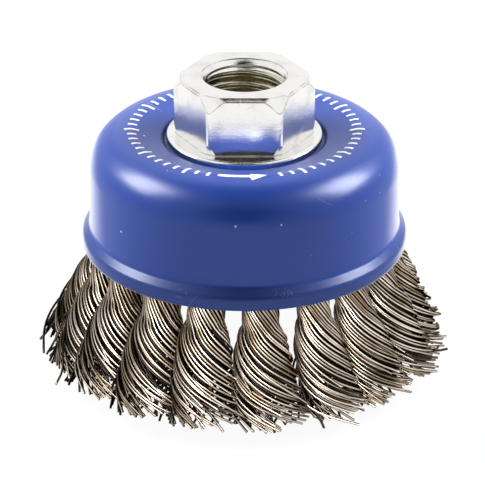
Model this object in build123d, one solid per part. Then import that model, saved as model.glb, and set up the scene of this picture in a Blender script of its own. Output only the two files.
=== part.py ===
from build123d import *
import math
import os

# Twist-knot wire cup brush for an angle grinder. Millimetres.
# The spindle axis is Z, the wire tips stand on z = 0 and the nut is on top.

# Spindle thread, 5/8 in - 11: the bore has the thread's minor diameter
BORE_D = 13.5
BORE_CHAMFER = 0.87
BORE_CHAMFER_ANGLE = 45.0

# Hexagon of the arbor nut, 7/8 in across flats
HEX_ACROSS_FLATS = 22.225
HEX_CORNER_RADIUS = 0.6
HEX_HEIGHT = 10.9
HEX_TOP_BEVEL = 0.6
HEX_CROWN_MARGIN = 0.45
HEX_CROWN_ANGLE = 67.0
HEX_FOOT_MARGIN = 1.1
HEX_FOOT_ANGLE = 78.0
HEX_CONE_CLEARANCE = 0.2

# Flange and spigot of the arbor nut
FLANGE_D = 28.0
FLANGE_THICKNESS = 1.8
FLANGE_RIM_RADIUS = 0.5
SPIGOT_D = 19.0
SPIGOT_CLEARANCE = 0.1
SWAGE_OVERHANG = 1.3
SWAGE_THICKNESS = 1.6
SWAGE_ROUNDING = 0.7

# Stamped cup, measured on its outer skin, heights from the lip
SHEET = 1.2
BEAD_OUT = 1.4
LIP_CURL = 0.7
LIP_CURL_HEIGHT = 0.5
BEAD_HEIGHT = 2.6
WALL_R = 28.0
WALL_DRAFT = 0.15
WALL_FOOT_HEIGHT = 4.3
CUP_HEIGHT = 22.0
SHOULDER_RADIUS = 7.2
CROWN_FLAT = 0.5
DISH_RUN = 0.5
DISH_DROP = 1.3
RECESS_CLEARANCE = 0.4
RECESS_DEPTH = 2.2
CROWN_RADIUS = 3.5
DISH_RADIUS = 0.5
RECESS_RADIUS = 0.4
FOOT_RADIUS = 1.2
BEAD_RADIUS = 1.5
CURL_RADIUS = 1.3

# Ring of knots
KNOT_COUNT = 18
KNOT_PHASE = -85.0
FREE_LENGTH = 22.5
KNOT_WALL_GAP = 1.18
KNOT_LEAN = 2.2
KNOT_FLARE = 9.4
KNOT_DRIFT = 2.2
TWIST_RATE = 10.0
FAN_HEIGHT = 8.0
FAN_TWIST_RATE = 5.0
KNOT_SPREAD = 1.9
SPREAD_POWER = 0.6
TIP_RISE = 7.0
STRAND_SIDE = 0.72
STRAND_SPACING = 1.25
STRAND_RINGS = 2
TWIST_STEPS = 4

# Looped root of each knot, bent over the rim of the disc
LOOP_BUNDLE_R = 1.9
LOOP_BEND_R = 3.0
LOOP_CLEARANCE = 0.2
LOOP_WALL_GAP = 0.65
THROAT_LENGTH = 2.6
LEG_LENGTH = 3.2

# Dished disc that holds the loops
DISC_THICKNESS = 2.0
DISC_HUB_MARGIN = 2.2
DISC_SLOPE_WIDTH = 2.8
DISC_BEND_RADIUS = 2.2
DISC_RIM_LIFT = 0.4

# Dished plate clamped under the disc
PLATE_THICKNESS = 1.5
PLATE_GAP = 0.25
PLATE_SKIRT_GAP = 0.5
PLATE_BEND_RADIUS = 1.6

# Heights and radii that follow from the driving dimensions
LIP_Z = FREE_LENGTH
CUP_TOP_Z = LIP_Z + CUP_HEIGHT
RECESS_Z = CUP_TOP_Z - RECESS_DEPTH
FLANGE_TOP_Z = RECESS_Z + FLANGE_THICKNESS
NUT_TOP_Z = FLANGE_TOP_Z + HEX_HEIGHT
HUB_TOP_Z = RECESS_Z - SHEET
HUB_BOTTOM_Z = HUB_TOP_Z - DISC_THICKNESS
PLATE_BOTTOM_Z = HUB_BOTTOM_Z - PLATE_THICKNESS
NUT_BOTTOM_Z = PLATE_BOTTOM_Z - SWAGE_THICKNESS
SPIGOT_HOLE_R = SPIGOT_D / 2 + SPIGOT_CLEARANCE
SWAGE_R = SPIGOT_D / 2 + SWAGE_OVERHANG
RECESS_R = FLANGE_D / 2 + RECESS_CLEARANCE
DISH_R = RECESS_R + DISH_RUN
LIP_R = WALL_R + BEAD_OUT
CROWN_R = WALL_R - WALL_DRAFT - SHOULDER_RADIUS - CROWN_FLAT
CROWN_TURN = math.atan2(DISH_DROP, CROWN_R - DISH_R)
CROWN_BEND = min(CROWN_RADIUS, CROWN_FLAT / math.tan(CROWN_TURN / 2))

LOOP_Z = CUP_TOP_Z - SHOULDER_RADIUS
LOOP_R = WALL_R - SHEET - LOOP_BUNDLE_R - LOOP_BEND_R - LOOP_WALL_GAP
RIM_TOP_Z = LOOP_Z + DISC_RIM_LIFT
RIM_BOTTOM_Z = RIM_TOP_Z - DISC_THICKNESS
RIM_R = LOOP_R + LOOP_BEND_R - LOOP_BUNDLE_R - LOOP_CLEARANCE
HOLE_R = LOOP_BUNDLE_R + LOOP_CLEARANCE
HOLE_CIRCLE_R = LOOP_R - LOOP_BEND_R
THROAT_TOP_Z = LOOP_Z - LEG_LENGTH
THROAT_BOTTOM_Z = THROAT_TOP_Z - THROAT_LENGTH
KNOT_R = STRAND_RINGS * STRAND_SPACING + STRAND_SIDE
KNOT_ROOT_R = WALL_R - SHEET - KNOT_WALL_GAP - KNOT_R
KNOT_LIP_R = KNOT_ROOT_R + KNOT_LEAN
KNOT_TIP_R = KNOT_LIP_R + KNOT_FLARE


def offset_points(points, distance):
    """The corners of a line moved sideways by a distance, to the right of its direction."""
    moved = []
    last = len(points) - 1
    for i, (x, y) in enumerate(points):
        before = points[max(i - 1, 0)]
        after = points[min(i + 1, last)]
        into = Vector(x - before[0], y - before[1]) if i > 0 else None
        out = Vector(after[0] - x, after[1] - y) if i < last else None
        into = (into or out).normalized()
        out = (out or into).normalized()
        normal = Vector(into.Y + out.Y, -into.X - out.X).normalized()
        reach = distance / (normal.X * out.Y - normal.Y * out.X)
        moved.append((x + normal.X * reach, y + normal.Y * reach))
    return moved


def pressed_sheet(points, radii, thickness):
    """Solid of revolution of a pressed sheet: its outer skin and its bends, in (radius, height)."""
    inner = offset_points(points, thickness)
    inner_radii = []
    for before, corner, after, radius in zip(points, points[1:], points[2:], radii):
        into = (corner[0] - before[0], corner[1] - before[1])
        out = (after[0] - corner[0], after[1] - corner[1])
        turns_right = into[0] * out[1] - into[1] * out[0] < 0
        inner_radii.append(max(radius - thickness, 0.05) if turns_right else radius + thickness)
    outline = points + inner[::-1]
    rounding = [0, *radii, 0, 0, *inner_radii[::-1], 0]
    with BuildPart() as part:
        with BuildSketch(Plane.XZ):
            with BuildLine():
                FilletPolyline(*outline, radius=rounding, close=True)
            make_face()
        revolve(axis=Axis.Z)
    return part.part


def cup_shell():
    """Stamped cup with a dished crown, a recess for the nut's flange and a beaded lip."""
    skin = [
        (SPIGOT_HOLE_R, RECESS_Z),
        (RECESS_R, RECESS_Z),
        (DISH_R, CUP_TOP_Z - DISH_DROP),
        (CROWN_R, CUP_TOP_Z),
        (WALL_R - WALL_DRAFT, CUP_TOP_Z),
        (WALL_R, LIP_Z + WALL_FOOT_HEIGHT),
        (LIP_R, LIP_Z + BEAD_HEIGHT),
        (LIP_R, LIP_Z + LIP_CURL_HEIGHT),
        (LIP_R - LIP_CURL, LIP_Z),
    ]
    bends = [
        RECESS_RADIUS,
        DISH_RADIUS,
        CROWN_BEND,
        SHOULDER_RADIUS,
        FOOT_RADIUS,
        BEAD_RADIUS,
        CURL_RADIUS,
    ]
    return pressed_sheet(skin, bends, SHEET)


def arbor_nut():
    """Hexagon nut with its corners trimmed by cones, a flange, and a spigot swaged over under the plates."""
    flat_r = HEX_ACROSS_FLATS / 2
    corner_r = (flat_r - HEX_CORNER_RADIUS) / math.cos(math.pi / 6) + HEX_CORNER_RADIUS
    cone_r = corner_r + HEX_CONE_CLEARANCE
    crown_r = flat_r + HEX_CROWN_MARGIN
    foot_r = flat_r + HEX_FOOT_MARGIN
    crown_drop = (cone_r - crown_r) * math.tan(math.radians(HEX_CROWN_ANGLE))
    foot_rise = (cone_r - foot_r) * math.tan(math.radians(HEX_FOOT_ANGLE))
    mouth_r = BORE_D / 2 + BORE_CHAMFER
    mouth_depth = BORE_CHAMFER / math.tan(math.radians(BORE_CHAMFER_ANGLE))
    with BuildPart() as part:
        with BuildSketch(Plane.XY.offset(FLANGE_TOP_Z)):
            hexagon = RegularPolygon(flat_r, 6, major_radius=False)
            fillet(hexagon.vertices(), HEX_CORNER_RADIUS)
        extrude(amount=HEX_HEIGHT)
        chamfer(part.faces().sort_by(Axis.Z)[-1].edges(), HEX_TOP_BEVEL)
        with BuildSketch(Plane.XZ):
            Polygon(
                (0, FLANGE_TOP_Z),
                (foot_r, FLANGE_TOP_Z),
                (cone_r, FLANGE_TOP_Z + foot_rise),
                (cone_r, NUT_TOP_Z - crown_drop),
                (crown_r, NUT_TOP_Z),
                (0, NUT_TOP_Z),
                align=None,
            )
        revolve(axis=Axis.Z, mode=Mode.INTERSECT)
        with BuildSketch(Plane.XZ):
            with BuildLine():
                FilletPolyline(
                    (0, FLANGE_TOP_Z),
                    (FLANGE_D / 2, FLANGE_TOP_Z),
                    (FLANGE_D / 2, RECESS_Z),
                    (SPIGOT_D / 2, RECESS_Z),
                    (SPIGOT_D / 2, PLATE_BOTTOM_Z),
                    (SWAGE_R, PLATE_BOTTOM_Z),
                    (SWAGE_R, NUT_BOTTOM_Z),
                    (0, NUT_BOTTOM_Z),
                    radius=[0, FLANGE_RIM_RADIUS, 0, 0, 0, 0, SWAGE_ROUNDING, 0],
                    close=True,
                )
            make_face()
        revolve(axis=Axis.Z)
        with BuildSketch(Plane.XZ):
            Polygon(
                (0, NUT_TOP_Z),
                (mouth_r, NUT_TOP_Z),
                (BORE_D / 2, NUT_TOP_Z - mouth_depth),
                (BORE_D / 2, NUT_BOTTOM_Z + mouth_depth),
                (mouth_r, NUT_BOTTOM_Z),
                (0, NUT_BOTTOM_Z),
                align=None,
            )
        revolve(axis=Axis.Z, mode=Mode.SUBTRACT)
    return part.part


def knot_angles():
    """Angle of each knot about the spindle axis, in degrees."""
    return [KNOT_PHASE + i * 360 / KNOT_COUNT for i in range(KNOT_COUNT)]


def disc_skin():
    """Upper skin of the dished disc, in (radius, height)."""
    hub_r = SWAGE_R + DISC_HUB_MARGIN
    return [
        (SPIGOT_HOLE_R, HUB_TOP_Z),
        (hub_r, HUB_TOP_Z),
        (hub_r + DISC_SLOPE_WIDTH, RIM_TOP_Z),
        (RIM_R, RIM_TOP_Z),
    ]


def knot_disc():
    """Dished disc with a hole for each knot near its rim."""
    disc = pressed_sheet(disc_skin(), [DISC_BEND_RADIUS, DISC_BEND_RADIUS], DISC_THICKNESS)
    hole = Pos(HOLE_CIRCLE_R, 0, RIM_BOTTOM_Z) * Cylinder(HOLE_R, 4 * DISC_THICKNESS)
    return disc - [Rot(0, 0, angle) * hole for angle in knot_angles()]


def retaining_plate():
    """Dished plate that nests under the disc, backs the knots and is held by the swaged spigot."""
    hub, corner, foot, _ = offset_points(disc_skin(), DISC_THICKNESS)
    skin = [
        hub,
        (corner[0] - PLATE_GAP, corner[1]),
        (foot[0] - PLATE_GAP, foot[1] - PLATE_GAP),
        (KNOT_ROOT_R - KNOT_R - PLATE_SKIRT_GAP, THROAT_BOTTOM_Z),
    ]
    return pressed_sheet(skin, [PLATE_BEND_RADIUS, PLATE_BEND_RADIUS], PLATE_THICKNESS)


def below_lip(z):
    """Share of the free length that lies above a height, 0 at the lip and 1 at the tips."""
    return max(LIP_Z - z, 0) / FREE_LENGTH


def knot_centre(z):
    """Radius and sideways drift of a knot's axis at a height."""
    if z > LIP_Z:
        inside = (z - LIP_Z) / (THROAT_BOTTOM_Z - LIP_Z)
        return KNOT_LIP_R + (KNOT_ROOT_R - KNOT_LIP_R) * inside, 0.0
    share = below_lip(z)
    return KNOT_LIP_R + (KNOT_TIP_R - KNOT_LIP_R) * share, KNOT_DRIFT * share**2


def knot_spread(z):
    """How much wider the bundle is at a height than inside the cup."""
    return 1 + (KNOT_SPREAD - 1) * below_lip(z) ** SPREAD_POWER


def strand_point(ring, turn, z):
    """Centre of a strand at a height, from its ring in the bundle and its start angle."""
    twist = TWIST_RATE * (THROAT_BOTTOM_Z - max(z, FAN_HEIGHT)) + FAN_TWIST_RATE * max(FAN_HEIGHT - z, 0)
    angle = math.radians(turn + twist)
    radius, drift = knot_centre(z)
    reach = ring * STRAND_SPACING * knot_spread(z)
    return radius + reach * math.cos(angle), drift + reach * math.sin(angle), z


def strand(ring, turn):
    """One square strand, a lock of wires, from inside the throat to its tip. Outer ones end higher."""
    outermost = STRAND_RINGS * STRAND_SPACING * KNOT_SPREAD
    outward = (strand_point(ring, turn, 0)[0] - KNOT_TIP_R) / outermost
    root_z = THROAT_BOTTOM_Z + THROAT_LENGTH / 4
    twisted = root_z - FAN_HEIGHT
    levels = [root_z - twisted * i / TWIST_STEPS for i in range(TWIST_STEPS + 1)]
    levels.append(TIP_RISE * max(outward, 0))
    sections = []
    for z in levels:
        side = STRAND_SIDE * knot_spread(z)
        sections.append(Pos(*strand_point(ring, turn, z)) * Rectangle(side, side))
    return loft(sections, ruled=True)


def bundle_seats():
    """Ring and start angle of each strand in a bundle packed six round one."""
    seats = [(0, 0.0)]
    for ring in range(1, STRAND_RINGS + 1):
        seats += [(ring, 360 * i / (6 * ring)) for i in range(6 * ring)]
    return seats


def eight_sided(x, z, half_x, half_y, cut):
    """Flat eight-sided outline: a rectangle with its corners cut off."""
    corners = [
        (half_x, cut - half_y),
        (half_x, half_y - cut),
        (half_x - cut, half_y),
        (cut - half_x, half_y),
        (-half_x, half_y - cut),
        (-half_x, cut - half_y),
        (cut - half_x, -half_y),
        (half_x - cut, -half_y),
    ]
    return Pos(x, 0, z) * Polygon(*corners, align=None)


def knot_root():
    """The bundle's loop over the rim of the disc, and the throat where its two legs join."""
    cut = LOOP_BUNDLE_R * (2 - math.sqrt(2))
    section = eight_sided(HOLE_CIRCLE_R, LOOP_Z, LOOP_BUNDLE_R, LOOP_BUNDLE_R, cut)
    bend = revolve(section, axis=Axis((LOOP_R, 0, LOOP_Z), (0, 1, 0)), revolution_arc=180)
    inner_leg = extrude(section, amount=LEG_LENGTH, dir=(0, 0, -1))
    outer_leg = Pos(2 * LOOP_BEND_R, 0, 0) * inner_leg
    knot_cut = KNOT_R * (2 - math.sqrt(2))
    top = eight_sided(LOOP_R, THROAT_TOP_Z, LOOP_BEND_R + LOOP_BUNDLE_R, LOOP_BUNDLE_R, cut)
    bottom = eight_sided(KNOT_ROOT_R, THROAT_BOTTOM_Z, KNOT_R, KNOT_R, knot_cut)
    throat = loft([bottom, top], ruled=True)
    return [bend, inner_leg, outer_leg, throat]


def knot():
    """One twisted knot: its root and its strands, joined in one fuse."""
    strands = [strand(ring, turn) for ring, turn in bundle_seats()]
    bend, *rest = knot_root()
    return bend.fuse(*rest, *strands)


def main():
    os.makedirs("parts", exist_ok=True)
    nodes = {
        "cup_shell": cup_shell(),
        "arbor_nut": arbor_nut(),
        "knot_disc": knot_disc(),
        "retaining_plate": retaining_plate(),
    }
    first_knot = knot()
    for number, angle in enumerate(knot_angles(), start=1):
        nodes[f"knot_{number:02d}"] = Rot(0, 0, angle) * first_knot
    for name, solid in nodes.items():
        export_step(solid, f"parts/{name}.step")


main()
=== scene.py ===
# %% [markdown]
# A twist-knot wire cup brush is the tool that an angle grinder spins to strip rust and old paint. A pressed
# and painted steel cup carries a plated nut on top and eighteen twisted bundles of steel wire below. The
# measured solids come first, as a fixed frame. Everything that is made here takes its place from them, so
# nothing has to be fitted.

# %% Load the frame
import math
import random

import bmesh
import bpy
from mathutils import Matrix, Vector


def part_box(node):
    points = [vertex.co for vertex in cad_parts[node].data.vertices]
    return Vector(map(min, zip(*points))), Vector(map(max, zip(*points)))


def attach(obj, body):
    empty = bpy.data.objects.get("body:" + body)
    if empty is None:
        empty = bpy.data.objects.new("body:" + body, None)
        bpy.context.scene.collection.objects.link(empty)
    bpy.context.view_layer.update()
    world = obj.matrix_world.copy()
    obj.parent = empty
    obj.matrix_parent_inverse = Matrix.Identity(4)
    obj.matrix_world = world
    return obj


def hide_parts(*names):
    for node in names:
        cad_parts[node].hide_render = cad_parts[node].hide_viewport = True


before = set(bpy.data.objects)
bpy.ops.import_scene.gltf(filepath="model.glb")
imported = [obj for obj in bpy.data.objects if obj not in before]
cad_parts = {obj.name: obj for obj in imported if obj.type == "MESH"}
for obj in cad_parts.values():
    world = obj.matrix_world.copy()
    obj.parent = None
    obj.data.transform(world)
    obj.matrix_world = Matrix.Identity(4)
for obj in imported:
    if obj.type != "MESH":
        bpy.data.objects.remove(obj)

MM = 0.001
scene = bpy.context.scene
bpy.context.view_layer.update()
cup_low, cup_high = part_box("cup_shell")
nut_low, nut_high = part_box("arbor_nut")

# %% [markdown]
# The camera stands in front of the brush and looks down on it, as in the photograph. A long lens far away
# keeps the lip of the cup a flat ellipse; a short lens close by would open it up and make the nut loom. The
# focal length is written in pixels of the picture and turned into millimetres of a 36 mm sensor, which is
# how a lens is named.

# %% Camera
VIEW_ELEVATION = math.radians(25.91)
VIEW_DISTANCE = 600 * MM
FOCAL_PIXELS = 3300
PICTURE_PIXELS = 485
SENSOR_WIDTH = 36
AIM_ASIDE = -0.34 * MM
AIM_LIFT = -0.56 * MM


def new_object(name, data):
    """An object for a lens, a lamp or a mesh, linked to the scene."""
    made = bpy.data.objects.new(name, data)
    scene.collection.objects.link(made)
    return made


lens = bpy.data.cameras.new("photo_camera")
lens.sensor_width = SENSOR_WIDTH
lens.lens = SENSOR_WIDTH * FOCAL_PIXELS / PICTURE_PIXELS
camera = new_object("photo_camera", lens)
view_up = Vector((0, math.sin(VIEW_ELEVATION), math.cos(VIEW_ELEVATION)))
view_back = Vector((0, -math.cos(VIEW_ELEVATION), math.sin(VIEW_ELEVATION)))
aim = Vector((AIM_ASIDE, 0, cup_low.z)) + view_up * AIM_LIFT
camera.location = aim + view_back * VIEW_DISTANCE
camera.rotation_euler = (math.pi / 2 - VIEW_ELEVATION, 0, 0)
scene.camera = camera
scene.view_settings.view_transform = "Standard"
print("camera:", round(lens.lens), "mm lens at", [round(c / MM) for c in camera.location], "mm")

# %% [markdown]
# Node trees are long when every node takes three lines, so a few small helpers keep them short. `place`
# adds a node and fills its inputs with numbers or with links, and `result` gives its first output at once.
# They serve the world, the materials and Geometry Nodes alike.

# %% Helpers for node trees
def plug_in(tree, plug, value):
    """Gives an input a number, or a link from a socket or a Field."""
    source = getattr(value, "socket", value)
    if isinstance(source, bpy.types.NodeSocket):
        tree.links.new(source, plug)
    else:
        plug.default_value = source


def fill(tree, node, values):
    """Fills the named or numbered inputs of a node."""
    for name, value in values.items():
        plug_in(tree, node.inputs[name], value)


def place(tree, kind, values=None, **settings):
    """Adds a node with its settings, and fills its inputs."""
    node = tree.nodes.new(kind)
    for name, setting in settings.items():
        setattr(node, name, setting)
    fill(tree, node, values or {})
    return node


def result(tree, kind, values=None, **settings):
    """Adds a node as `place` does, and gives its first output."""
    return place(tree, kind, values, **settings).outputs[0]


print("helpers: plug_in, fill, place, result")

# %% [markdown]
# A formula made of nodes is hard to read. So a `Field` wraps one output of a node: it can be added,
# multiplied and compared like a number, and every sum adds a Math node. Python lets a class say what plus
# and times mean for it, and that is all that happens here.

# %% Formulas as nodes
class Field:
    """A number that changes from point to point. Reckoning with it adds Math nodes."""

    def __init__(self, tree, socket):
        self.tree = tree
        self.socket = socket

    def reckon(self, operation, *others):
        node = place(self.tree, "ShaderNodeMath", operation=operation)
        for plug, value in zip(node.inputs, (self, *others)):
            plug_in(self.tree, plug, value)
        return Field(self.tree, node.outputs[0])

    def __add__(self, other):
        return self.reckon("ADD", other)

    def __sub__(self, other):
        return self.reckon("SUBTRACT", other)

    def __rsub__(self, other):
        return self * -1 + other

    def __mul__(self, other):
        return self.reckon("MULTIPLY", other)

    def __truediv__(self, other):
        return self.reckon("DIVIDE", other)

    def __pow__(self, other):
        return self.reckon("POWER", other)

    def __mod__(self, other):
        return self.reckon("FLOORED_MODULO", other)

    def __abs__(self):
        return self.reckon("ABSOLUTE")

    __radd__ = __add__
    __rmul__ = __mul__

    def sin(self):
        return self.reckon("SINE")

    def cos(self):
        return self.reckon("COSINE")

    def at_least(self, limit):
        return self.reckon("MAXIMUM", limit)

    def at_most(self, limit):
        return self.reckon("MINIMUM", limit)

    def above(self, limit):
        return self.reckon("GREATER_THAN", limit)

    def below(self, limit):
        return self.reckon("LESS_THAN", limit)


print("formulas:", Field.__name__)

# %% [markdown]
# Four more helpers go with fields. `fade` is a soft step, which suits wear and light better than a hard
# one. `blend` mixes two colours, `axes` takes a vector apart, and `with_vectors` reckons with whole
# vectors.

# %% Soft steps, colours and vectors
def fade(tree, value, start, end):
    """A soft step: 0 where the value is at start, 1 where it is at end."""
    limits = {"Value": value, "From Min": start, "From Max": end}
    return Field(tree, result(tree, "ShaderNodeMapRange", limits, interpolation_type="SMOOTHSTEP"))


def blend(tree, share, first, second):
    """The mix of two colours. A Mix node has sockets for each kind of data, and these are for colours."""
    return place(tree, "ShaderNodeMix", {0: share, 6: first, 7: second}, data_type="RGBA").outputs[2]


def axes(tree, vector):
    """The three numbers of a vector, as fields."""
    return [Field(tree, number) for number in place(tree, "ShaderNodeSeparateXYZ", {0: vector}).outputs]


def with_vectors(tree, operation, *vectors):
    """Reckons with vectors: a Field where the answer is a number, and else a vector."""
    answers = place(tree, "ShaderNodeVectorMath", dict(enumerate(vectors)), operation=operation).outputs
    is_number = operation in ("DOT_PRODUCT", "LENGTH")
    return Field(tree, answers["Value"]) if is_number else answers["Vector"]


print("helpers: fade, blend, axes, with_vectors")

# %% [markdown]
# The surroundings matter more than the lamps for a plated nut, because a mirror only shows what is around
# it. The picture has white on every side, a dark gap overhead between the white screens, and the dark
# camera in front. These two put the dark lines on the nut's bevels and in its bore. So the world is white
# to the camera, and white with two dark places to mirrors. The soft light that fills the shadows is a mild
# white that fades out towards the front, which keeps the wall of the cup deep.

# %% World
AMBIENT = 0.4
GAP_HEADING = (0.0, 0.0, 1.0)
GAP_EDGE = (0.8, 0.96)
FRONT_HEADING = (0.0, -0.9, 0.436)
FRONT_EDGE = (0.84, 0.96)
SHADE_EDGE = (0.3, 0.9)
DARK_COLOUR = (0.04, 0.035, 0.025, 1)
WHITE = (1, 1, 1, 1)

world = bpy.data.worlds.new("studio")
world.use_nodes = True
scene.world = world
sky = world.node_tree
sky.nodes.clear()
heading = place(sky, "ShaderNodeTexCoord").outputs["Generated"]


def any_ray(tree, *kinds):
    """1 where a ray is of any of these kinds, and 0 elsewhere."""
    path = place(tree, "ShaderNodeLightPath").outputs
    share = Field(tree, path[kinds[0]])
    for kind in kinds[1:]:
        share = share.at_least(path[kind])
    return share


def mix_shaders(tree, share, first, second):
    """The mix of two shaders."""
    return result(tree, "ShaderNodeMixShader", {0: share, 1: first, 2: second})


def dark_place(middle, edge):
    """How dark the room is towards a heading: 0 outside the soft edge, 1 inside it."""
    return fade(sky, with_vectors(sky, "DOT_PRODUCT", heading, middle), *edge)


def room(darkness, strength):
    """A white room with dark places."""
    colour = blend(sky, darkness, WHITE, DARK_COLOUR)
    return result(sky, "ShaderNodeBackground", {"Color": colour, "Strength": strength})


mirrored = room(dark_place(GAP_HEADING, GAP_EDGE).at_least(dark_place(FRONT_HEADING, FRONT_EDGE)), 1)
ambient = room(dark_place(FRONT_HEADING, SHADE_EDGE), AMBIENT)
seen = result(sky, "ShaderNodeBackground", {"Color": WHITE})
indirect = mix_shaders(sky, any_ray(sky, "Is Glossy Ray", "Is Transmission Ray"), ambient, mirrored)
view = mix_shaders(sky, any_ray(sky, "Is Camera Ray"), indirect, seen)
place(sky, "ShaderNodeOutputWorld", {"Surface": view})
print("world: white, with dark places towards", GAP_HEADING, "and", FRONT_HEADING)

# %% [markdown]
# Two soft boxes stand left and right of the brush. They make the two broad highlights on the cup's shoulder
# and the two on its bead. Gloss needs a bright box and a matt colour needs a mild one, so each box is two
# lamps that stand near each other: one that only the cup's gloss sees, and one that only adds light. The
# wires have a wide lamp of their own in front, which brings them out of their dark gaps. The pieces that a
# lamp is kept for are gathered in collections, which the cup and the knots join when they are made.

# %% Lamps
SHINE_HEADING = Vector((0.761, 0.085, 0.64))
BOX_HEADING = Vector((0.72, 0.32, 0.62))
BOX_DISTANCE = 600 * MM
BOX_SIZE = 300 * MM
SHINE_POWER = 7.5
BOX_POWER = 6.0
WIRE_HEADING = Vector((-0.2, -0.78, 0.6))
WIRE_BOX_SIZE = 450 * MM
WIRE_POWER = 9.0


def lamp(name, heading, size, power):
    """A square area lamp that looks at the cup from a direction."""
    data = bpy.data.lights.new(name, "AREA")
    data.size = size
    data.energy = power
    holder = new_object(name, data)
    heading = heading.normalized()
    holder.location = Vector((0, 0, cup_low.z)) + heading * BOX_DISTANCE
    holder.rotation_euler = heading.to_track_quat("Z", "Y").to_euler()
    return holder


shiny_pieces = bpy.data.collections.new("shiny_pieces")
for side, sign in (("right", 1), ("left", -1)):
    mirror = Vector((sign, 1, 1))
    shine = lamp(side + "_shine", SHINE_HEADING * mirror, BOX_SIZE, SHINE_POWER)
    shine.visible_diffuse = False
    shine.light_linking.receiver_collection = shiny_pieces
    lamp(side + "_box", BOX_HEADING * mirror, BOX_SIZE, BOX_POWER).visible_glossy = False
wire_pieces = bpy.data.collections.new("wire_pieces")
wire_shine = lamp("wire_shine", WIRE_HEADING, WIRE_BOX_SIZE, WIRE_POWER)
wire_shine.light_linking.receiver_collection = wire_pieces
print("lamps: two soft boxes of two lamps each, and one for the wires")

# %% [markdown]
# The floor is white to the eye and in the metal, and still takes the brush's shadow. A plain white floor
# would turn grey under soft light, so camera and mirror rays see it mostly as a glowing white sheet. The
# rest stays a matt surface, and that part darkens under the wires.

# %% Floor
FLOOR_SIZE = 4.0
FLOOR_GLOW = 0.95
FLOOR_MATT = (0.95, 0.95, 0.95, 1)


def new_material(name):
    """A material with no nodes yet, and its tree."""
    material = bpy.data.materials.new(name)
    material.use_nodes = True
    material.node_tree.nodes.clear()
    return material, material.node_tree


def floor_finish():
    """White and glowing to sharp rays, and matt to soft light."""
    material, tree = new_material("white_floor")
    sharp = any_ray(tree, "Is Camera Ray", "Is Glossy Ray", "Is Transmission Ray")
    matt = result(tree, "ShaderNodeBsdfDiffuse", {"Color": FLOOR_MATT})
    glow = result(tree, "ShaderNodeEmission", {"Color": WHITE})
    mixed = mix_shaders(tree, sharp * FLOOR_GLOW, matt, glow)
    place(tree, "ShaderNodeOutputMaterial", {"Surface": mixed})
    return material


half = FLOOR_SIZE / 2
floor_corners = [(-half, -half, 0), (half, -half, 0), (half, half, 0), (-half, half, 0)]
floor_mesh = bpy.data.meshes.new("floor")
floor_mesh.from_pydata(floor_corners, [], [(0, 1, 2, 3)])
floor_mesh.materials.append(floor_finish())
floor = new_object("floor", floor_mesh)
print("floor:", FLOOR_SIZE, "m square")

# %% [markdown]
# Wear is shared by the paint, the plating and the inner steel, so it is built once as node groups. A group
# has named inputs, so that each finish can set its own sizes, and puts out a mask. Both kinds of wear here
# start from a random grid of cells on the piece's own coordinates.

# %% Groups and cells
def add_inputs(tree, numbers):
    """Gives a tree named number inputs: their identifiers, and the inputs as fields."""
    sockets = {}
    for label, number in numbers.items():
        kind = "NodeSocketInt" if isinstance(number, int) else "NodeSocketFloat"
        socket = tree.interface.new_socket(name=label, in_out="INPUT", socket_type=kind)
        socket.default_value = number
        sockets[label] = socket.identifier
    entry = tree.nodes.new("NodeGroupInput")
    return sockets, {label: Field(tree, entry.outputs[label]) for label in numbers}


def new_wear(name, numbers):
    """A shader group with number inputs and one mask output, and its inputs as fields."""
    group = bpy.data.node_groups.new(name, "ShaderNodeTree")
    group.interface.new_socket(name="Mask", in_out="OUTPUT", socket_type="NodeSocketFloat")
    return group, add_inputs(group, numbers)[1]


def cells(group, scale):
    """Random cells on the object's own coordinates, the way from a cell's middle, and a luck per cell."""
    where = place(group, "ShaderNodeTexCoord").outputs["Object"]
    grid = place(group, "ShaderNodeTexVoronoi", {"Vector": where, "Scale": scale}).outputs
    away = with_vectors(group, "SUBTRACT", where, grid["Position"])
    luck = result(group, "ShaderNodeTexWhiteNoise", {"Vector": grid["Position"]})
    return grid, away, Field(group, luck)


print("helpers: add_inputs, new_wear, cells")

# %% [markdown]
# A scratch is a thin straight mark. In each cell of the grid a random plane cuts the surface, and the cut
# is the scratch. It needs no picture and no flat map of the surface. Specks of dust are the middles of such
# cells.

# %% Scratches and specks
SCRATCH_TAPER = 0.6
SPECK_CORE = 0.5
COLOUR_MIDDLE = (0.5, 0.5, 0.5)


def scratch_group():
    """Short straight scratches: the cut of a random plane in some of the cells."""
    sizes = {"Scale": 250.0, "Length": 0.4, "Width": 0.02, "Share": 0.2}
    group, given = new_wear("short_scratches", sizes)
    grid, away, luck = cells(group, given["Scale"])
    tilt = with_vectors(group, "SUBTRACT", grid["Color"], COLOUR_MIDDLE)
    normal = with_vectors(group, "NORMALIZE", tilt)
    across = abs(with_vectors(group, "DOT_PRODUCT", away, normal)) * given["Scale"]
    far = with_vectors(group, "LENGTH", away) * given["Scale"]
    thin = fade(group, across, given["Width"], 0)
    short = fade(group, far, given["Length"], given["Length"] * SCRATCH_TAPER)
    place(group, "NodeGroupOutput", {"Mask": thin * short * luck.below(given["Share"])})
    return group


def speck_group():
    """Specks of dust: the middles of some of the cells."""
    group, given = new_wear("dust_specks", {"Scale": 400.0, "Size": 0.1, "Share": 0.1})
    grid, _, luck = cells(group, given["Scale"])
    dot = fade(group, grid["Distance"], given["Size"], given["Size"] * SPECK_CORE)
    place(group, "NodeGroupOutput", {"Mask": dot * luck.below(given["Share"])})
    return group


short_scratches = scratch_group()
dust_specks = speck_group()
print("shared wear:", short_scratches.name, "and", dust_specks.name)

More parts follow.
